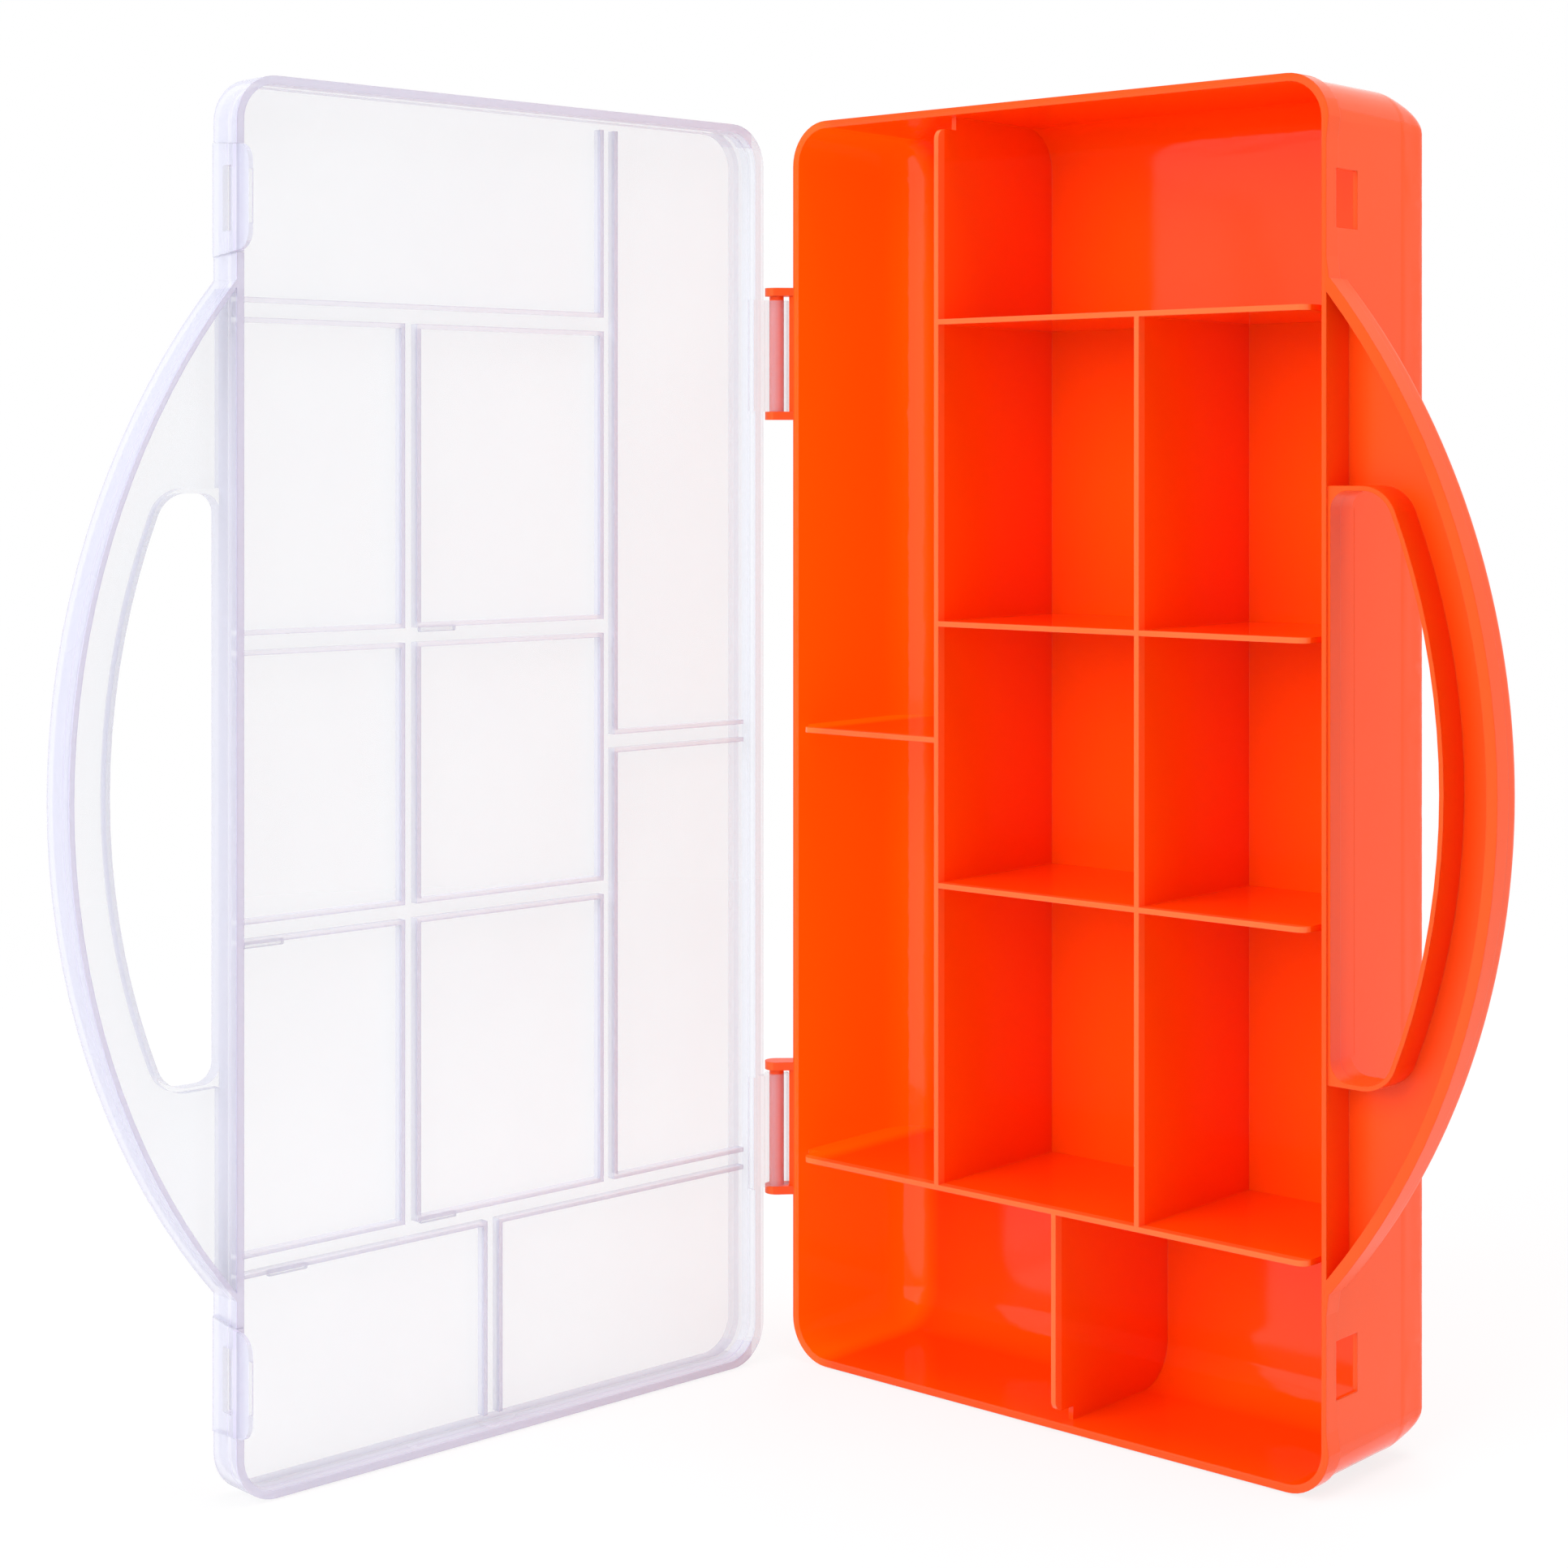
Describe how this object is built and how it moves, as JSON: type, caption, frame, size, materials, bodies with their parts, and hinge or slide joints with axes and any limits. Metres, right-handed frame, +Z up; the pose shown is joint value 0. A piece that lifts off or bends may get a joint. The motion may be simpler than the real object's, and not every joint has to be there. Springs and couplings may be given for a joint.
{
  "type": "small parts box",
  "caption": "Flat carrying case for small craft parts: a divided tray and a clip-on hinged lid, each with half of a bow handle, standing open like a book.",
  "frame": {"origin": "middle of the lower end face of the tray's rim band, on which the open box stands", "axes": "+Z up along the box's long side, +X across the tray from its hinge side to its handle side, -Y the way the tray opens"},
  "size_m": [0.2119, 0.2273, 0.29],
  "materials": {
    "tray_plastic": "glossy injection moulded, opaque orange",
    "lid_plastic": "glossy injection moulded, milky clear"
  },
  "bodies": {
    "tray": {"tray": "tray_plastic"},
    "lid": {"lid": "lid_plastic"},
    "latch_upper": {"latch_upper": "lid_plastic"},
    "latch_lower": {"latch_lower": "lid_plastic"}
  },
  "joints": [
    {"name": "lid_hinge", "type": "hinge", "parent": "tray", "child": "lid", "pos_m": [-0.0769, -0.0032, 0.145], "axis": [0, 0, 1], "range_deg": [-85, 95]},
    {"name": "latch_upper_flex", "type": "hinge", "parent": "lid", "child": "latch_upper", "pos_m": [-0.09484, -0.14919, 0.2637], "axis": [0, 0, -1], "range_deg": [0, 8], "stiffness_Nm_per_rad": 0.6},
    {"name": "latch_lower_flex", "type": "hinge", "parent": "lid", "child": "latch_lower", "pos_m": [-0.09484, -0.14919, 0.0253], "axis": [0, 0, -1], "range_deg": [0, 8], "stiffness_Nm_per_rad": 0.6}
  ]
}
